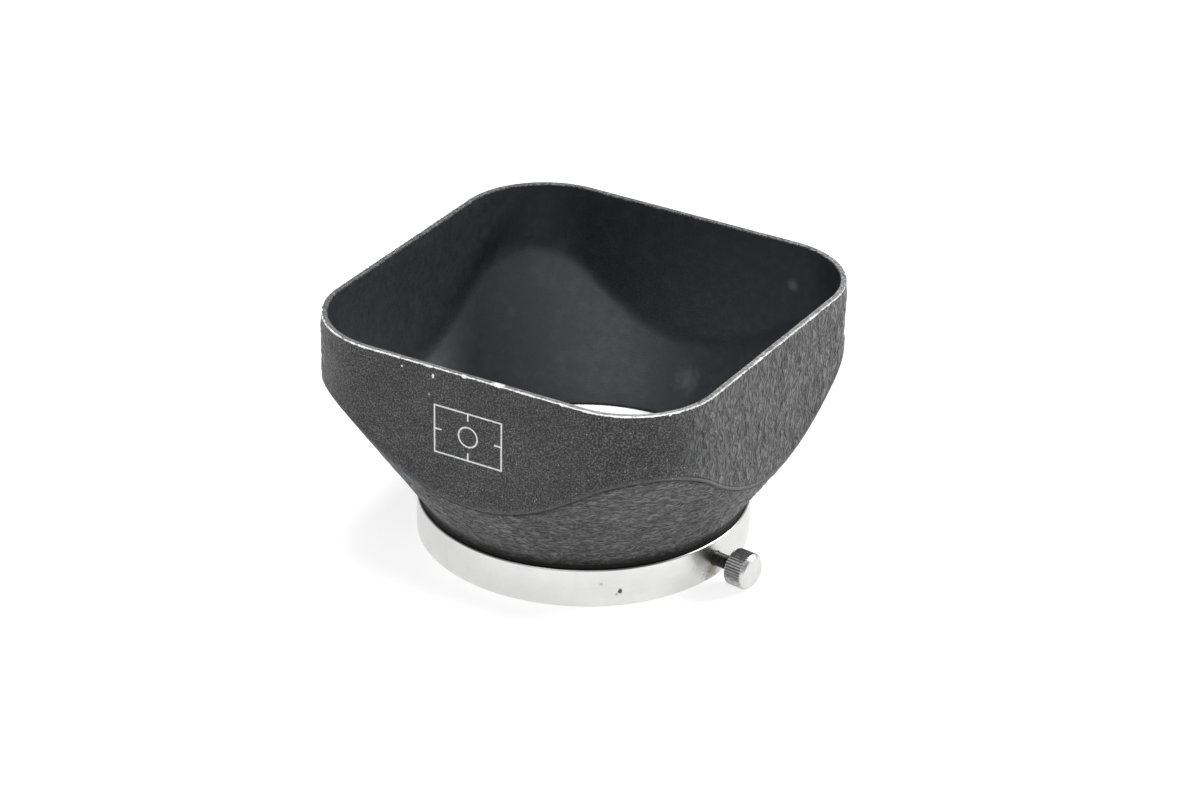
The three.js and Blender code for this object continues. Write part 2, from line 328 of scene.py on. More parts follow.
def make_shade():
    theta = even_columns()
    rows, bends, wall_r, crease_z = shade_rows(theta)
    neck_bend, crease_bend, rim_outer_bend, rim_inner_bend = bends[2:6]
    grid = np.stack([circle(row[:, 0], row[:, 1], theta) for row in rows])
    r = np.stack([row[:, 0] for row in rows])
    z = grid[..., 2]
    row_count = len(rows)
    index = np.arange(row_count)[:, None]
    outer = (index >= neck_bend[0]) & (index <= rim_inner_bend[1])
    top = (index >= rim_outer_bend[1]) & (index <= rim_inner_bend[0])

    # Distance from the crease, negative below it, and from the rim's outer edge
    crease_row = (crease_bend[0] + crease_bend[1]) / 2
    slant = np.hypot(r - wall_r, z - crease_z)
    crease_mm = np.where(outer, np.clip(np.sign(index - crease_row) * slant, -FAR, FAR), FAR)
    edge_mm = np.clip(np.where(outer, np.hypot(r - wall_r, z - SHADE_TOP), FAR), 0, FAR)

    # Degrees round the hood from the middle of the marked wall, positive towards +X
    degrees = np.degrees(theta)[None, :] * np.ones((row_count, 1))
    side = (degrees + 90 + 180) % 360 - 180
    turn = np.abs(side)
    column = side[0]

    # The wrinkles are coarse, except on the marked wall and on the cone's corner towards -X
    cone = smoothstep(0.3, -0.6, crease_mm) * outer
    coarse_wall = np.where(side > 0, smoothstep(49, 58, side), smoothstep(-36, -50, side))
    coarse_cone = np.where(
        side > 0, 0.75 + 0.25 * smoothstep(0, 20, side), smoothstep(60, 0, turn)
    )
    coarse_cone = np.maximum(coarse_cone, smoothstep(60, 90, turn))
    coarse = coarse_wall * (1 - cone) + np.clip(coarse_cone, 0.15, 1) * cone

    # Outward normals of the smooth surface
    along = np.roll(grid, -1, axis=1) - np.roll(grid, 1, axis=1)
    up = np.roll(grid, -1, axis=0) - np.roll(grid, 1, axis=0)
    normal = np.cross(along, up)
    normal /= np.linalg.norm(normal, axis=2, keepdims=True)

    # Wrinkles, longer upright on the walls and longer round the hood on the cone
    flat = grid.reshape(-1, 3)
    mask = outer.repeat(COLUMNS, axis=1).reshape(-1)
    shown = flat[mask]
    coarse_shown, cone_shown, crease_shown, edge_shown = (
        field.reshape(-1)[mask] for field in (coarse, cone, crease_mm, edge_mm)
    )
    ones = np.ones_like(cone_shown)
    bent = shown * np.stack([ones, ones, 0.6 + 1.4 * cone_shown], axis=1)
    crinkles = crinkles_at(bent, 2.1, 3.1)
    small_crinkles = crinkles_at(bent, 1.3, 7.7)
    broad = noise_at(shown, 9.0, 1.3)
    grain = noise_at(shown, 0.7, 5.9)
    wrinkles = CRINKLE_LIFT * crinkles + SMALL_CRINKLE_LIFT * small_crinkles
    lift = coarse_shown * wrinkles + GRAIN_LIFT * grain + BROAD_LIFT * broad

    # They fade out at the neck, at the rim and along the crease
    quiet = smoothstep(NECK_TOP + 0.2, NECK_TOP + 2.2, shown[:, 2])
    quiet = quiet * smoothstep(0.4, 2.4, edge_shown)
    off_bead = 1 - 0.9 * np.exp(-(((crease_shown - 0.1) / 0.4) ** 2))
    push = np.zeros(len(flat))
    push[mask] = lift * quiet * off_bead
    push = push.reshape(row_count, COLUMNS)

    # A rolled bead along the crease, lower on the marked side
    bead_height = 1 - 0.65 * smoothstep(-60, -20, column) * smoothstep(52, 40, column)
    bead = bead_height * np.exp(-(((crease_mm - 0.12) / 0.24) ** 2)) * outer
    push += BEAD_LIFT * bead

    # A shallow ragged groove in the paint under the crease, deepest on the marked side
    ragged = noise_at(grid[crease_bend[0]], 0.9, 11.0)
    sway = noise_at(grid[crease_bend[0]], 4.0, 2.0)
    marked = 0.25 + 0.75 * smoothstep(-5, 15, column) * smoothstep(55, 38, column)
    centre = GROOVE_CENTRE + 0.10 * ragged
    depth = GROOVE_DEPTH * marked * np.clip(0.7 + 0.5 * sway + 0.4 * ragged, 0, 1.4)
    push -= depth * np.exp(-(((crease_mm - centre) / 0.16) ** 2)) * outer

    # Nicks along the rim's outer edge, mostly on the marked side
    rim = grid[rim_outer_bend[0]]
    nick = smoothstep(0.18, 0.55, noise_at(rim, 1.3, 21.0))
    nick = nick * smoothstep(-0.1, 0.4, noise_at(rim, 9.0, 4.0))
    worn_side = 0.25 + 0.75 * smoothstep(-70, -30, column) * smoothstep(75, 50, column)
    push -= NICK_DEPTH * nick * worn_side * smoothstep(0.45, 0.0, edge_mm) * outer
    grid = grid + normal * push[..., None]

    neck_to, inside_from = neck_bend[0], rim_inner_bend[1]
    band_slots = [
        NECK_SHADE if j < neck_to else (PAINT if j < inside_from else INSIDE) for j in range(row_count)
    ]
    # Painted shade: the neck's nearly black finish below, then the least glossy copy of the paint
    # on two bands and a less dull copy on the next two
    band_slots[neck_to : neck_to + 2] = [NECK_SHADED_PAINT] * 2
    band_slots[neck_to + 2 : neck_to + 4] = [LOW_SHADED_PAINT] * 2
    fields = {
        "crease_mm": crease_mm,
        "edge_mm": edge_mm,
        "groove_mm": np.where(outer, crease_mm - centre, FAR),
        "groove_depth": depth / GROOVE_DEPTH * outer,
        "top": top.astype(float),
        "coarse": coarse,
        "bead": bead,
        "cone": cone,
    }
    attributes = {key: np.broadcast_to(v, (row_count, COLUMNS)) for key, v in fields.items()}
    return build_mesh("shade", list(grid), True, attributes, band_slots, smooth=60)


# ---- Collar, ring nut, leaf, rivets, shoe ----
def with_steps(base, edges, gap=0.03):
    """Column angles in degrees, with a close pair at each edge of a pocket or slot."""
    pairs = [e + s * gap for e in edges for s in (-1, 1)]
    kept = [a for a in base if all(abs((a - e + 180) % 360 - 180) > 0.3 for e in edges)]
    return np.sort(np.array(kept + pairs))


def make_collar():
    angles = with_steps(np.arange(480) * 0.75 - 180 + 0.1, POCKET_ANGLES)
    in_pocket = (angles > POCKET_ANGLES[0]) & (angles < POCKET_ANGLES[1])
    turn = np.radians(angles)
    corners = [
        (BORE_R + COLLAR_CHAMFER, 0),
        (COLLAR_R - COLLAR_CHAMFER, 0),
        (COLLAR_R, COLLAR_CHAMFER),
        (COLLAR_R, COLLAR_H - COLLAR_TOP_CHAMFER),
        (COLLAR_R - COLLAR_TOP_CHAMFER, COLLAR_H),
        (BORE_R, COLLAR_H),
        (BORE_R, COLLAR_CHAMFER),
    ]
    outline = rounded(corners, [0.04, 0.1, 0.1, 0.06, 0.06, 0.05, 0.04])
    low, high = POCKET_Z
    pocket_rows = [(high + 0.02, BORE_R)]
    pocket_rows += [(height, POCKET_R) for height in (high, 3.6, 2.75, 1.9, low)]
    pocket_rows += [(low - 0.02, BORE_R)]
    tall_face, face_rows = 3, 14
    rings = []
    for i, (r, z) in enumerate(outline):
        rings.append(circle(r, z, turn))
        after = outline[(i + 1) % len(outline)]
        if abs(after[1] - z) <= tall_face:
            continue
        if r < BORE_R + 0.1:
            for height, radius in pocket_rows:
                rings.append(circle(np.where(in_pocket, radius, BORE_R), height, turn))
            continue
        for k in range(1, face_rows):
            t = k / face_rows
            rings.append(circle(r + (after[0] - r) * t, z + (after[1] - z) * t, turn))
    piece = build_mesh("collar", rings, loop=True)
    drills = [drill_at(STUD_HOLE_R, SCREW_ANGLE, SCREW_Z)]
    drills += [drill_at(RIVET_HOLE_R, LEAF_HINGE_ANGLE, z) for z in RIVET_Z]
    return weighted(drilled(piece, drills))


def make_ring_nut():
    slot_half = math.degrees(math.asin(NUT_SLOT_HALF_WIDTH / NUT_SLOT_R))
    edges = [a + s * slot_half for a in NUT_SLOT_ANGLES for s in (-1, 1)]
    angles = with_steps(np.arange(360) * 1.0 - 180 + 0.3, edges)
    in_slot = np.any([np.abs(angles - a) < slot_half for a in NUT_SLOT_ANGLES], axis=0)
    slot_floor = NUT_TOP - NUT_SLOT_DEPTH
    turn = np.radians(angles)
    corners = [
        (NUT_BORE_R, NUT_BOTTOM),
        (NUT_THREAD_R, NUT_BOTTOM),
        (NUT_THREAD_R, NUT_SEAT),
        (NUT_FLANGE_R, NUT_SEAT),
        (NUT_FLANGE_R, NUT_TOP),
        (NUT_FLANGE_R - 0.15, NUT_TOP),
        (NUT_BORE_R, NUT_TOP - NUT_TAPER),
    ]
    outline = rounded(corners, [0.08, 0.08, 0, 0.05, 0.07, 0.07, 0.12])
    rings = [
        circle(r, np.where(in_slot & (z > slot_floor), slot_floor, z), turn) for r, z in outline
    ]
    return weighted(build_mesh("ring_nut", rings, loop=True))


def leaf_place(points):
    """Turns the relaxed leaf inwards about its rivets, as the spring sets itself."""
    a = math.radians(-LEAF_SET)
    hx = LEAF_HINGE_R * math.cos(math.radians(LEAF_HINGE_ANGLE))
    hy = LEAF_HINGE_R * math.sin(math.radians(LEAF_HINGE_ANGLE))
    x, y = points[:, 0] - hx, points[:, 1] - hy
    set_x = hx + x * math.cos(a) - y * math.sin(a)
    set_y = hy + x * math.sin(a) + y * math.cos(a)
    return np.stack([set_x, set_y, points[:, 2]], axis=1)


def make_leaf():
    low, high = LEAF_Z
    inner, corner_r = LEAF_OUTER_R - LEAF_T, 0.5
    rings = []
    first, last = LEAF_ANGLES
    for degrees in np.linspace(first, last, 70):
        a = math.radians(degrees)
        to_end = min(degrees - first, last - degrees) * math.radians(1) * LEAF_OUTER_R
        inset = max(corner_r - to_end, 0)
        trim = corner_r - math.sqrt(max(corner_r**2 - inset**2, 0.0))
        bottom, top = low + trim, high - trim
        corners = [(inner, bottom), (LEAF_OUTER_R, bottom), (LEAF_OUTER_R, top), (inner, top)]
        section = [(r * math.cos(a), r * math.sin(a), z) for r, z in rounded(corners, 0.06)]
        rings.append(leaf_place(np.array(section)))
    piece = build_mesh("spring_leaf", rings, caps=True)
    drills = [drill_at(LEAF_HOLE_R, LEAF_HINGE_ANGLE, z) for z in RIVET_Z]
    return weighted(drilled(piece, drills))


def make_rivet(name, z):
    """A domed head inside the leaf, and a shank through it into the collar."""
    head_out = LEAF_OUTER_R - LEAF_T - 0.15
    head_in = head_out - 0.35
    dome = [
        (0, head_in), (0.25, head_in + 0.02), (0.45, head_in + 0.07), (0.6, head_in + 0.15),
        (0.7, head_in + 0.26), (0.72, head_out - 0.03), (0.69, head_out),
    ]
    shank = [
        (0.4, head_out), (0.4, COLLAR_R - 0.08), (0.36, COLLAR_R - 0.03),
        (0.2, COLLAR_R - 0.02), (0, COLLAR_R - 0.02),
    ]
    return weighted(turned(name, dome + shank, LEAF_HINGE_ANGLE, z, 40))


def make_shoe():
    """A small disc with a socket that the stud's tip snaps into."""
    socket, mouth, lip = TIP_R + TIP_CLEARANCE, TIP_NECK_R + TIP_CLEARANCE, TIP_END + TIP_CLEARANCE
    back = SHOE_INNER + SHOE_FACE_T
    profile = [
        (0, SHOE_INNER), (SHOE_R - 0.12, SHOE_INNER), (SHOE_R - 0.04, SHOE_INNER + 0.03),
        (SHOE_R, SHOE_INNER + 0.1), (SHOE_R, SHOE_OUTER - 0.05), (SHOE_R - 0.05, SHOE_OUTER),
        (mouth + 0.03, SHOE_OUTER), (mouth, SHOE_OUTER - 0.03),
        (mouth, lip), (socket, lip), (socket, back), (0, back),
    ]
    return weighted(turned("pressure_shoe_turned", profile, SCREW_ANGLE, SCREW_Z, 56))


# ---- Thumbscrew ----
def make_stud():
    """A tip that swivels in the shoe, a helical thread, and a plain end inside the knob."""
    shank = SHOE_OUTER + SHOE_GAP
    thread_from, thread_to = shank + 0.3, KNOB_BACK - 0.15
    profile = [
        (0, TIP_START), (TIP_R - 0.03, TIP_START), (TIP_R, TIP_START + 0.03), (TIP_R, TIP_END),
        (TIP_NECK_R, TIP_END), (TIP_NECK_R, shank), (STUD_R - THREAD_DEPTH, shank + 0.02),
    ]
    first = len(profile)
    steps = int((thread_to - thread_from) / THREAD_PITCH * 10)
    profile += [
        (STUD_R, thread_from + (thread_to - thread_from) * k / steps) for k in range(steps + 1)
    ]
    last = len(profile) - 1
    profile += [
        (STUD_R - 0.12, KNOB_BACK), (STUD_R - 0.02, KNOB_BACK + 0.1),
        (STUD_R - 0.02, KNOB_BACK + 1.55), (0, KNOB_BACK + 1.6),
    ]

    def threaded(i, radius, along, angles):
        if not first <= i <= last:
            return radius
        phase = (along / THREAD_PITCH - angles / TAU) % 1
        crest = np.clip(1.35 - np.abs(phase - 0.5) * 3.2, 0, 1)
        fade_in = smoothstep(thread_from, thread_from + 0.3, along)
        fade = fade_in * smoothstep(thread_to, thread_to - 0.3, along)
        return radius - THREAD_DEPTH * (1 - crest * fade)

    return turned("screw_stud", profile, SCREW_ANGLE, SCREW_Z, 64, threaded, smooth=50)


def make_knob():
    """A socket for the stud, a chamfered knurled side, and a turned end."""
    back, end, end_chamfer, back_chamfer = KNOB_BACK, KNOB_END, 0.5, 0.15
    socket = STUD_R + 0.05
    deep = back + 1.65
    body = np.linspace(back + back_chamfer + 0.08, end - end_chamfer - 0.08, 7)
    profile = [
        (0, deep), (socket, deep), (socket, back + 0.1), (socket + 0.1, back),
        (KNOB_R - back_chamfer - 0.5, back), (KNOB_R - back_chamfer - 0.04, back),
        (KNOB_R - back_chamfer + 0.03, back + 0.03), (KNOB_R - 0.03, back + back_chamfer - 0.03),
        (KNOB_R, back + back_chamfer + 0.03),
    ]
    knurl_from = len(profile) - 2
    profile += [(KNOB_R, x) for x in body]
    profile += [(KNOB_R, end - end_chamfer - 0.03), (KNOB_R - 0.05, end - end_chamfer + 0.04)]
    knurl_to = len(profile) - 1
    profile += [
        (KNOB_R - end_chamfer * 0.5, end - end_chamfer * 0.5),
        (KNOB_R - end_chamfer + 0.03, end - 0.05), (KNOB_R - end_chamfer - 0.04, end),
        (KNOB_R - end_chamfer - 0.4, end), (1.4, end),
        (0.9, end - 0.004), (0.5, end - 0.01), (0.18, end - 0.015), (0, end - 0.03),
    ]
    count = KNURL_TEETH * 8

    def knurled(i, radius, along, angles):
        tooth = np.abs(((angles / TAU * KNURL_TEETH) % 1) - 0.5) * 2
        cut = KNURL_DEPTH * np.clip(tooth * 1.25 - 0.12, 0, 1)
        share = 1.0 if knurl_from < i < knurl_to else (0.25 if i in (knurl_from, knurl_to) else 0.0)
        return radius - cut * share

    # 1 on the knurled side and behind it, 0 on the turned end
    side = [
        np.full(1 if radius <= 0 else count, 1.0 if i <= knurl_to else 0.0)
        for i, (radius, along) in enumerate(profile)
    ]
    options = {"attributes": {"side": side}, "smooth": 28}
    return turned("screw_knob", profile, SCREW_ANGLE, SCREW_Z, count, knurled, **options)


# ---- Materials ----
class Looks:
    """One procedural material. Texture coordinates are the piece's own, in millimetres."""

    def __init__(self, name):
        self.material = bpy.data.materials.new(name)
        self.material.use_nodes = True
        self.tree = self.material.node_tree
        self.tree.nodes.clear()
        coordinates = self.tree.nodes.new("ShaderNodeTexCoord")
        self.mm = self.vector("SCALE", coordinates.outputs["Object"], scale=1000.0)

    def wire(self, node, values):
        """Links the sockets among the values, and sets the rest. None leaves a socket alone."""
        for key, value in values.items():
            socket = node.inputs[key]
            if isinstance(value, bpy.types.NodeSocket):
                self.tree.links.new(value, socket)
            elif value is not None:
                socket.default_value = value
        return node

    def vector(self, operation, a, b=None, scale=None):
        node = self.tree.nodes.new("ShaderNodeVectorMath")
        node.operation = operation
        self.wire(node, {0: a, 1: b})
        if scale is not None:
            self.wire(node, {"Scale": scale})
        return node.outputs["Value" if operation == "LENGTH" else "Vector"]

    def stretch(self, factors):
        return self.vector("MULTIPLY", self.mm, factors)

    def math(self, operation, a, b=None):
        node = self.tree.nodes.new("ShaderNodeMath")
        node.operation = operation
        return self.wire(node, {0: a, 1: b}).outputs[0]

    def plus(self, a, b):
        return self.math("ADD", a, b)

    def minus(self, a, b):
        return self.math("SUBTRACT", a, b)

    def times(self, a, b):
        return self.math("MULTIPLY", a, b)

    def absolute(self, a):
        return self.math("ABSOLUTE", a)

    def lesser(self, a, b):
        return self.math("MINIMUM", a, b)

    def most(self, *values):
        result = values[0]
        for value in values[1:]:
            result = self.math("MAXIMUM", result, value)
        return result

    def three(self, kind, a, b, c):
        """Three numbers joined, as XYZ or as a Color."""
        node = self.tree.nodes.new("ShaderNodeCombine" + kind)
        return self.wire(node, {0: a, 1: b, 2: c}).outputs[0]

    def noise(self, scale, detail=2.0, rough=0.5, distortion=0.0, at=None):
        node = self.tree.nodes.new("ShaderNodeTexNoise")
        self.wire(node, {"Vector": at or self.mm, "Scale": scale, "Detail": detail})
        self.wire(node, {"Roughness": rough, "Distortion": distortion})
        return node.outputs["Fac"]

    def cells(self, scale, at=None, feature="F1", smooth=0.35):
        node = self.tree.nodes.new("ShaderNodeTexVoronoi")
        node.feature = feature
        self.wire(node, {"Vector": at or self.mm, "Scale": scale})
        if feature == "SMOOTH_F1":
            self.wire(node, {"Smoothness": smooth})
        return node

    def ramp(self, value, low, high, to_low=0.0, to_high=1.0):
        node = self.tree.nodes.new("ShaderNodeMapRange")
        node.interpolation_type = "SMOOTHSTEP"
        self.wire(node, {"Value": value, "From Min": low, "From Max": high})
        self.wire(node, {"To Min": to_low, "To Max": to_high})
        return node.outputs[0]

    def mix(self, factor, a, b):
        node = self.tree.nodes.new("ShaderNodeMix")
        node.data_type = "RGBA"
        return self.wire(node, {0: factor, 6: a, 7: b}).outputs[2]

    def shade(self, colour, factor):
        """The colour times a number."""
        return self.vector("SCALE", colour, scale=factor)

    def value(self, name):
        node = self.tree.nodes.new("ShaderNodeAttribute")
        node.attribute_name = name
        return node.outputs["Fac"]

    def axis(self, which):
        node = self.tree.nodes.new("ShaderNodeSeparateXYZ")
        return self.wire(node, {0: self.mm}).outputs[which]

    def spot(self, centre, radius, soft=0.4, wobble=None, squeeze=(1, 1, 1)):
        """1 inside a blot about a point, 0 outside. wobble is a noise that makes it ragged."""
        offset = self.vector("MULTIPLY", self.vector("SUBTRACT", self.mm, centre), squeeze)
        distance = self.vector("LENGTH", offset)
        if wobble is not None:
            distance = self.plus(distance, self.times(self.minus(wobble, 0.5), radius * 1.6))
        return self.ramp(distance, radius * (1 - soft), radius * (1 + soft), 1.0, 0.0)

    def bump(self, height, distance):
        node = self.tree.nodes.new("ShaderNodeBump")
        return self.wire(node, {"Height": height, "Distance": distance * MM}).outputs[0]

    def finish(self, colour, roughness, normal=None, metallic=0.0, specular=0.5, glow=0.0):
        shader = self.tree.nodes.new("ShaderNodeBsdfPrincipled")
        self.wire(shader, {"Emission Color": (1, 1, 1, 1), "Emission Strength": glow})
        self.wire(shader, {"Base Color": colour, "Roughness": roughness, "Normal": normal})
        self.wire(shader, {"Metallic": metallic, "Specular IOR Level": specular})
        output = self.tree.nodes.new("ShaderNodeOutputMaterial")
        self.tree.links.new(shader.outputs[0], output.inputs[0])
        return self.material


def grey(level, warm=0.0):
    return (level * (1 + warm), level, level * (1 - warm), 1.0)


def framing_mark(m, centre_x, centre_z):
    """Thin printed lines: a frame, a tick in from the middle of each side, a ring at the centre."""
    half_x, half_z, ring, tick, line = 5.2, 3.5, 1.45, 1.0, 0.24
    x = m.absolute(m.minus(m.axis("X"), centre_x))
    z = m.absolute(m.minus(m.axis("Z"), centre_z))
    past_x, past_z = m.minus(x, half_x), m.minus(z, half_z)
    frame_line = m.absolute(m.most(past_x, past_z))
    radius = m.math("SQRT", m.plus(m.times(x, x), m.times(z, z)))
    ring_line = m.absolute(m.minus(radius, ring))
    nearest = m.lesser(frame_line, ring_line)
    for across, past in ((x, past_z), (z, past_x)):
        along = m.minus(m.absolute(m.plus(past, tick / 2)), tick / 2)
        nearest = m.lesser(nearest, m.most(across, along))
    return m.ramp(nearest, line * 0.35, line * 0.65, 1.0, 0.0)


def wrinkle_paint(name, specular):
    """Black wrinkle lacquer: relief, the printed mark, and wear along the rim, with painted light
    and shade on the relief, the crease's bead and groove, glints, and the neck.
    """
    m = Looks(name)
    fields = ("coarse", "cone", "crease_mm", "edge_mm", "top")
    coarse, cone, crease, edge, top = (m.value(field) for field in fields)
    in_groove = m.ramp(m.absolute(m.value("groove_mm")), 0.06, 0.26, 1.0, 0.0)
    groove = m.times(in_groove, m.value("groove_depth"))

    # Coarse wrinkles: folds and pillows, upright on the walls and round the hood on the cone
    wide = m.minus(1.1, m.times(cone, 0.4))
    tall = m.plus(0.68, m.times(cone, 0.75))
    lean = m.vector("MULTIPLY", m.mm, m.three("XYZ", wide, wide, tall))
    ridges = m.absolute(m.minus(m.times(m.noise(0.95, 2.5, 0.5, 0.6, lean), 2.0), 1.0))
    folds = m.lesser(m.times(ridges, 2.6), 1.0)
    pillows = m.minus(1.0, m.cells(1.15, lean, "SMOOTH_F1").outputs["Distance"])
    soft = m.noise(1.9, 2.0, 0.55, 0.4, lean)
    leather = m.plus(m.plus(m.times(folds, 0.40), m.times(pillows, 0.35)), m.times(soft, 0.5))

    # Fine grain, everywhere
    grain = m.noise(4.6, 3.0, 0.6)
    beads = m.minus(1.0, m.cells(4.2).outputs["Distance"])
    fine = m.plus(m.times(grain, 0.8), m.times(beads, 0.2))

    # Both are calmer on the crease's bead, and gone at the neck
    off_bead = m.absolute(m.minus(crease, 0.12))
    calm = m.minus(1.0, m.ramp(off_bead, 0.25, 0.5, 0.9, 0.0))
    above_neck = m.ramp(m.axis("Z"), 6.3, 8.6)
    height = m.plus(m.times(leather, coarse), m.times(fine, 0.22))
    normal = m.bump(m.times(m.times(height, calm), above_neck), 1.2)

    # Tone: uneven over the whole shade. The relief is painted too: painted light on its tops and
    # painted shade in its creases and folds
    tone = m.ramp(m.noise(0.12, 2.0), 0.3, 0.7, 0.92, 1.1)
    tone = m.times(tone, m.ramp(m.noise(0.5, 2.0), 0.3, 0.7, 0.86, 1.15))
    coarse_relief_shading = m.ramp(leather, 0.32, 0.85, 0.95, m.plus(3.1, m.times(cone, 0.6)))
    coarse_relief_shading = m.times(coarse_relief_shading, m.ramp(folds, 0.0, 0.32, 0.55, 1.0))
    fine_relief_shading = m.ramp(fine, 0.42, 0.68, 0.20, 2.4)
    blend = m.times(coarse, 0.8)
    relief = m.plus(m.times(coarse_relief_shading, blend), m.times(fine_relief_shading, m.minus(1.0, blend)))
    # Painted shade: the relief's colour falls to a quarter towards the neck, between the cone and
    # the collar
    relief = m.times(relief, m.ramp(above_neck, 0.0, 1.0, 0.25, 1.0))
    colour = m.shade((0.050, 0.050, 0.051), m.times(tone, relief))
    # The crease's rolled bead is painted paler and even: smoother paint, and a painted highlight
    # along its rounded edge
    colour = m.mix(m.times(m.value("bead"), 0.8), colour, grey(0.085))
    # Painted shade: the groove under the crease is painted nearly black
    colour = m.mix(m.times(groove, 0.9), colour, grey(0.008))

    # Painted glints: bright specks on the fine paint, more of them towards +X, the lit side
    glint_cells = m.cells(3.6)
    painted_glint = m.ramp(glint_cells.outputs["Distance"], 0.20, 0.38, 1.0, 0.0)
    chosen = m.tree.nodes.new("ShaderNodeSeparateColor")
    m.wire(chosen, {0: glint_cells.outputs["Color"]})
    painted_glint = m.times(painted_glint, m.ramp(chosen.outputs[0], 0.972, 0.985))
    painted_glint = m.times(painted_glint, m.minus(1.0, m.times(coarse, 0.75)))
    toward_lit_side = m.ramp(m.axis("X"), -14.0, 12.0, 0.12, 1.0)
    colour = m.mix(m.times(m.times(painted_glint, toward_lit_side), 0.80), colour, grey(0.42))

    # The printed mark, with small gaps in its lines
    on_marked_wall = m.ramp(m.axis("Y"), -28.6, -28.9)
    gaps = m.ramp(m.noise(3.2, 3.0, 0.6), 0.30, 0.42, 0.35, 1.0)
    mark = m.times(m.times(framing_mark(m, -0.4, 27.0), on_marked_wall), gaps)
    colour = m.mix(mark, colour, grey(0.72))

    # The rim's top: paint rubbed thin, brighter towards +X, and a pale line at its inner edge
    rubbed = m.ramp(m.noise(1.4, 3.0, 0.6), 0.25, 0.75, 0.10, 0.22)
    rubbed = m.three("Color", rubbed, rubbed, rubbed)
    rubbed = m.shade(rubbed, m.ramp(m.axis("X"), 10.0, 26.0, 0.9, 1.7))
    colour = m.mix(m.times(top, 0.9), colour, rubbed)
    inner_line = m.ramp(m.absolute(m.minus(edge, 0.78)), 0.04, 0.16, 1.0, 0.0)
    inner_line = m.times(inner_line, m.ramp(m.noise(0.35, 2.0, 0.5), 0.35, 0.6, 0.35, 1.0))
    inner_line = m.times(m.times(inner_line, top), m.ramp(m.axis("X"), 4.0, 14.0, 0.15, 0.5))
    colour = m.mix(inner_line, colour, grey(0.45))

    # The rim's outer edge: a ragged line of bare metal, narrower at the back
    width = m.plus(0.13, m.times(m.ramp(m.noise(0.55, 2.0), 0.45, 0.75), 0.12))
    width = m.plus(width, m.times(m.minus(m.noise(2.6, 2.0, 0.6), 0.5), 0.34))
    width = m.minus(width, m.ramp(m.axis("Y"), 12.0, 24.0, 0.0, 0.10))
    bare = m.ramp(m.minus(edge, width), -0.03, 0.04, 1.0, 0.0)

    # Chips on and near the rim, and small pale dots further down
    ragged = m.noise(2.2, 3.0, 0.6)
    chips = m.most(
        m.spot((-5.8, -29.6, 34.66), 0.26, 0.3, ragged, (1.5, 1, 0.8)),
        m.spot((-10.7, -29.6, 34.8), 0.13, 0.4, ragged),
        m.times(m.spot((-6.45, -29.6, 31.8), 0.16, 0.5, ragged), 0.35),
        m.spot((4.2, -29.3, 36.0), 0.75, 0.2, ragged, (0.8, 1.5, 2.2)),
        m.spot((-1.0, -29.6, 35.9), 0.35, 0.2, ragged, (0.8, 1, 1.4)),
        m.spot((23.7, -28.0, 35.8), 0.28, 0.2, ragged),
        m.spot((27.3, -24.4, 35.8), 0.25, 0.2, ragged),
        m.times(m.spot((13.5, -29.6, 19.3), 0.14, 0.4), 0.8),
        m.times(m.spot((27.1, -28.4, 34.4), 0.12, 0.4), 0.5),
    )
    bare = m.most(bare, chips)
    colour = m.mix(bare, colour, grey(0.82, 0.01))

    # A faint blue-green patch on the cone
    green_patch = m.spot((-10.6, -28.2, 17.4), 1.1, 0.5, ragged)
    colour = m.mix(m.times(green_patch, 0.30), colour, (0.05, 0.20, 0.20, 1.0))
    roughness = m.plus(m.ramp(grain, 0.3, 0.7, 0.40, 0.52), m.times(groove, 0.2))
    roughness = m.minus(roughness, m.times(bare, 0.12))
    roughness = m.plus(roughness, m.ramp(above_neck, 0.0, 0.8, 0.25, 0.0))
    return m.finish(colour, roughness, normal, m.times(bare, 0.6), specular)


def matte_black():
    """The inside: bluish black, a little dust, two smudges."""
    m = Looks("matte_black")
    dust = m.ramp(m.noise(0.35, 4.0, 0.6), 0.45, 0.8, 0.0, 1.0)
    speckle = m.ramp(m.noise(5.0, 2.0), 0.3, 0.7, 0.94, 1.06)
    colour = m.shade((0.0092, 0.0110, 0.0150), speckle)
    colour = m.mix(m.times(dust, 0.10), colour, (0.10, 0.105, 0.115, 1.0))
    ragged = m.noise(1.2, 2.0)
    smudges = m.most(
        m.times(m.spot((16.7, 28.75, 29.6), 0.7, 0.7, ragged), 0.30),
        m.times(m.spot((2.0, 24.5, 12.5), 1.6, 0.8, ragged), 0.14),
    )
    colour = m.mix(smudges, colour, (0.20, 0.21, 0.22, 1.0))
    normal = m.bump(m.noise(3.5, 3.0, 0.6), 0.02)
    roughness = m.ramp(m.noise(0.8, 2.0), 0.3, 0.7, 0.50, 0.58)
    return m.finish(colour, roughness, normal, specular=0.46)


# Painted shade: the neck between the cone and the collar, nearly black and barely glossy
def neck_painted_shade():
    m = Looks("neck_painted_shade")
    colour = m.shade((0.006, 0.006, 0.0065), m.ramp(m.noise(2.0, 2.0), 0.3, 0.7, 0.8, 1.2))
    normal = m.bump(m.noise(6.0, 2.0), 0.01)
    return m.finish(colour, m.ramp(m.noise(1.0), 0.3, 0.7, 0.55, 0.65), normal, specular=0.12)


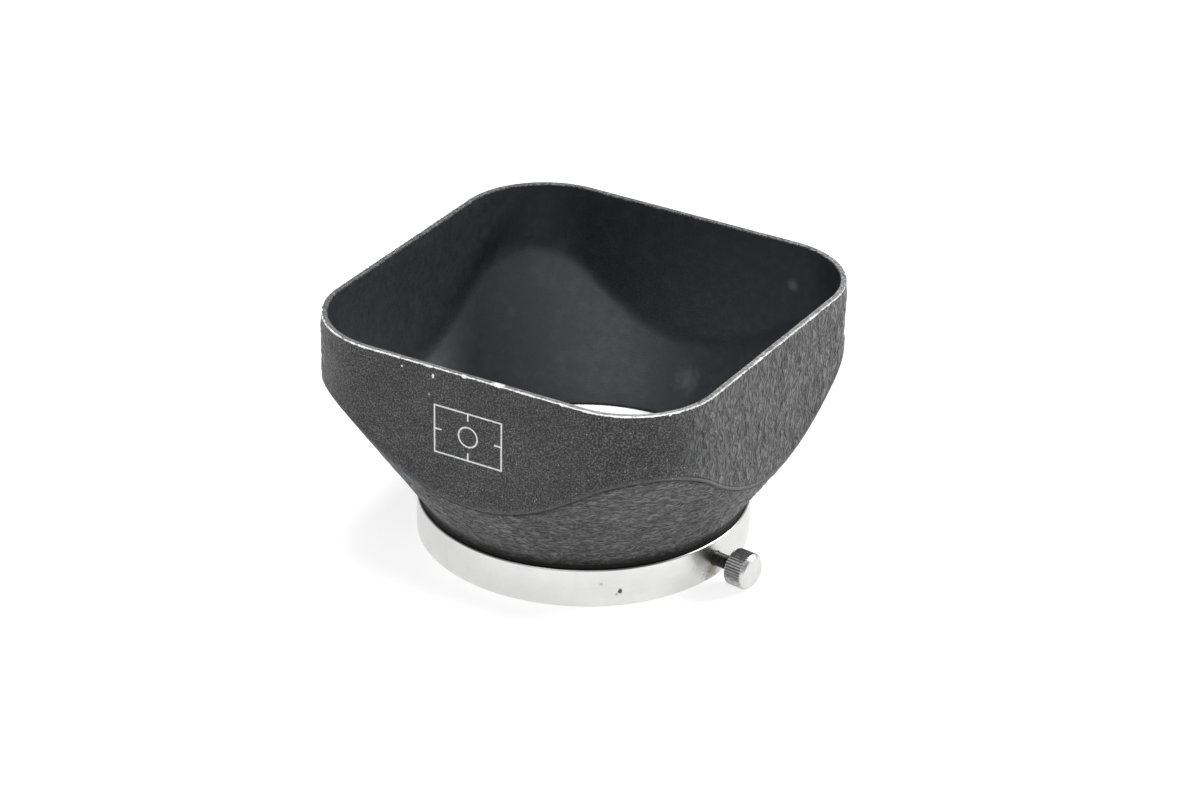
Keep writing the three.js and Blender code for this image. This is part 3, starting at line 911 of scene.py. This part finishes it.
def plate(name, level, rough, lines_at, stains_and_shading=True):
    """Bright satin metal with fine turning lines; lines_at stretches the noise that draws them."""
    m = Looks(name)
    lines = m.noise(1.0, 3.0, 0.7, 0.0, m.stretch(lines_at))
    blotch = m.noise(0.35, 3.0, 0.6)
    tone = m.ramp(blotch, 0.35, 0.75, 1.0, 0.955)
    tone = m.times(tone, m.ramp(lines, 0.3, 0.7, 0.97, 1.02))
    colour = m.shade(tuple(grey(level, 0.004)[:3]), tone)
    roughness = m.ramp(blotch, 0.3, 0.7, rough - 0.01, rough + 0.03)
    roughness = m.plus(roughness, m.ramp(lines, 0.3, 0.7, -0.01, 0.01))
    if stains_and_shading:
        # The collar: painted shade as a dark line along its top edge, faint streaks, pits and
        # specks, and beside the screw a dark haze, a painted reflection of the knob mixed with
        # dirt, with brown grime under it
        # Painted shade: the collar's top edge is darkened to half
        colour = m.shade(colour, m.ramp(m.axis("Z"), 5.5, 5.7, 1.0, 0.5))
        ragged = m.noise(2.4, 3.0, 0.6)
        streaks = m.noise(1.0, 3.0, 0.6, 0.0, m.stretch((0.5, 0.5, 0.12)))
        colour = m.mix(m.times(m.ramp(streaks, 0.52, 0.75), 0.09), colour, grey(0.45, 0.02))
        pits = m.most(
            m.spot((15.95, -16.99, 2.37), 0.30, 0.4, ragged, (1, 1, 0.75)),
            m.times(m.spot((15.6, -17.3, 1.9), 0.20, 0.5, ragged), 0.5),
            m.times(m.spot((13.94, -18.67, 3.68), 0.22, 0.5, ragged), 0.35),
        )
        specks = m.times(m.ramp(m.noise(3.0, 2.0, 0.5), 0.72, 0.80), 0.35)
        colour = m.mix(m.most(pits, specks), colour, grey(0.10, 0.03))
        # A painted reflection of the knob mixed with dirt: a dark haze beside the screw
        knob_reflection_and_dirt = m.times(m.spot((22.8, -4.9, 3.4), 2.0, 0.9, ragged, (1, 1, 1.2)), 0.42)
        colour = m.mix(knob_reflection_and_dirt, colour, grey(0.11, 0.02))
        grime = m.times(m.spot((23.1, -3.9, 1.5), 1.5, 0.7, ragged), 0.75)
        colour = m.mix(grime, colour, (0.17, 0.165, 0.11, 1.0))
        roughness = m.plus(roughness, m.times(m.most(grime, pits), 0.3))
    return m.finish(colour, roughness, m.bump(lines, 0.002), 1.0)


def knob_plate():
    """Grimy knurled side, cleaner turned end."""
    m = Looks("knob_plate")
    side = m.value("side")
    grime = m.ramp(m.noise(1.6, 3.0, 0.6), 0.3, 0.7, 0.7, 1.2)
    knurl = m.shade((0.46, 0.46, 0.465), grime)
    face = m.shade((0.62, 0.62, 0.615), m.ramp(m.noise(0.8, 2.0), 0.3, 0.7, 0.95, 1.02))
    colour = m.mix(m.ramp(side, 0.4, 0.9), face, knurl)
    roughness = m.plus(0.30, m.times(side, 0.12))
    return m.finish(colour, roughness, m.bump(m.noise(7.0, 2.0), 0.006), 1.0)


def simple_metal(name, colour, rough):
    """Small metal parts: worn tone, fine scratches."""
    m = Looks(name)
    tone = m.ramp(m.noise(0.9, 3.0, 0.6), 0.3, 0.7, 0.82, 1.08)
    scratches = m.noise(1.0, 2.0, 0.6, 0.3, m.stretch((2.0, 2.0, 9.0)))
    roughness = m.ramp(scratches, 0.3, 0.7, rough - 0.05, rough + 0.08)
    return m.finish(m.shade(colour, tone), roughness, m.bump(scratches, 0.004), 1.0)


def dress(piece, body, node, slot, *materials):
    for material in materials:
        piece.data.materials.append(material)
    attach(piece, body)
    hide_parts(node)


# In the order of the shade's material slots; the last three are painted shade at the neck, darker
# than the paint
shade_materials = (
    wrinkle_paint("wrinkle_paint", 0.34),
    matte_black(),
    neck_painted_shade(),
    wrinkle_paint("wrinkle_paint_neck_shaded", 0.15),
    wrinkle_paint("wrinkle_paint_low_shaded", 0.25),
)
dress(make_shade(), "hood", "hood_shell", "wrinkle_paint", *shade_materials)
satin_plate = plate("satin_plate", 0.74, 0.30, (0.05, 0.05, 14.0))
dress(make_collar(), "hood", "mount_ring", "satin_plate", satin_plate)
nut_plate = plate("nut_plate", 0.40, 0.50, (0.3, 0.3, 9.0), stains_and_shading=False)
dress(make_ring_nut(), "hood", "retaining_ring", "nut_plate", nut_plate)
brass = simple_metal("rivet_brass", (0.70, 0.56, 0.30), 0.32)
dress(make_rivet("rivet_lower", RIVET_Z[0]), "hood", "leaf_rivet_lower", "rivet_brass", brass)
dress(make_rivet("rivet_upper", RIVET_Z[1]), "hood", "leaf_rivet_upper", "rivet_brass", brass)
bronze = simple_metal("spring_bronze", (0.62, 0.42, 0.20), 0.30)
dress(make_leaf(), "leaf", "clamp_leaf", "spring_bronze", bronze)
dress(make_shoe(), "shoe", "pressure_shoe", "rivet_brass", brass)
# Painted shade: the stud's steel is nearly black, as dark as the shaded gap between the collar and
# the knob
shaded_steel = simple_metal("screw_steel", (0.05, 0.05, 0.047), 0.45)
dress(make_stud(), "thumbscrew", "thumbscrew_stud", "screw_steel", shaded_steel)
dress(make_knob(), "thumbscrew", "thumbscrew_knob", "knob_plate", knob_plate())


# ---- Stage, light and camera ----
FLOOR_R, FLOOR_Z, FLOOR_SIDES = 6000.0, -0.05, 96
FLOOR_GREY, FLOOR_GLOW = 0.32, 0.76
# Place and target in metres, diameter in metres, watts
LIGHTS = {
    "key": ((0.50, 0.46, 0.40), (0, 0, 0.02), 0.22, 5.5),
    "overhead": ((0.0, 0.0, 1.0), (0, 0, 0), 0.5, 9.5),
    "front": ((0.12, -0.60, 0.75), (0, 0, 0.02), 0.7, 3.8),
}
# The white world's strength as a light, and how much more where it is seen past the floor's edge
WORLD_LIGHT, WORLD_SEEN_EXTRA = 0.30, 0.65
CAMERA_LENS, CAMERA_SENSOR, CAMERA_CLIP, CAMERA_ROLL = 125.86, 36.0, 0.01, 0.914
CAMERA_PLACE, CAMERA_TARGET = (0.26020, -0.44119, 0.29019), (0.00180, 0.00105, 0.01953)


def make_floor():
    """A wide pale disc just under the collar, bright enough to be nearly white."""
    mesh = bpy.data.meshes.new("floor")
    ring = circle(FLOOR_R, FLOOR_Z, spin(FLOOR_SIDES)) * MM
    mesh.from_pydata(ring.tolist(), [], [tuple(range(FLOOR_SIDES))])
    floor = bpy.data.objects.new("floor", mesh)
    bpy.context.scene.collection.objects.link(floor)
    m = Looks("pale_floor")
    floor.data.materials.append(m.finish(grey(FLOOR_GREY), 0.9, specular=0.1, glow=FLOOR_GLOW))


def looking(place, target):
    """The matrix of a light or camera at a place, facing a target."""
    facing = (Vector(target) - Vector(place)).to_track_quat("-Z", "Y")
    return Matrix.Translation(place) @ facing.to_matrix().to_4x4()


def area_light(name, place, target, size, watts):
    light = bpy.data.lights.new(name, "AREA")
    light.shape = "DISK"
    light.size = size
    light.energy = watts
    lamp = bpy.data.objects.new(name, light)
    lamp.matrix_world = looking(place, target)
    bpy.context.scene.collection.objects.link(lamp)


make_floor()
for light_name, light_facts in LIGHTS.items():
    area_light(light_name, *light_facts)

world = bpy.data.worlds.new("studio")
bpy.context.scene.world = world
world.use_nodes = True
background = world.node_tree.nodes["Background"]
background.inputs[0].default_value = (1.0, 1.0, 1.0, 1.0)
light_path = world.node_tree.nodes.new("ShaderNodeLightPath")
strength = world.node_tree.nodes.new("ShaderNodeMath")
strength.operation = "MULTIPLY_ADD"
strength.inputs[1].default_value = WORLD_SEEN_EXTRA
strength.inputs[2].default_value = WORLD_LIGHT
world.node_tree.links.new(light_path.outputs["Is Camera Ray"], strength.inputs[0])
world.node_tree.links.new(strength.outputs[0], background.inputs[1])
bpy.context.scene.view_settings.view_transform = "Standard"

camera_data = bpy.data.cameras.new("camera")
camera_data.lens = CAMERA_LENS
camera_data.sensor_width = CAMERA_SENSOR
camera_data.clip_start = CAMERA_CLIP
camera = bpy.data.objects.new("camera", camera_data)
roll = Matrix.Rotation(math.radians(CAMERA_ROLL), 4, "Z")
camera.matrix_world = looking(CAMERA_PLACE, CAMERA_TARGET) @ roll
bpy.context.scene.collection.objects.link(camera)
bpy.context.scene.camera = camera

bpy.context.view_layer.update()
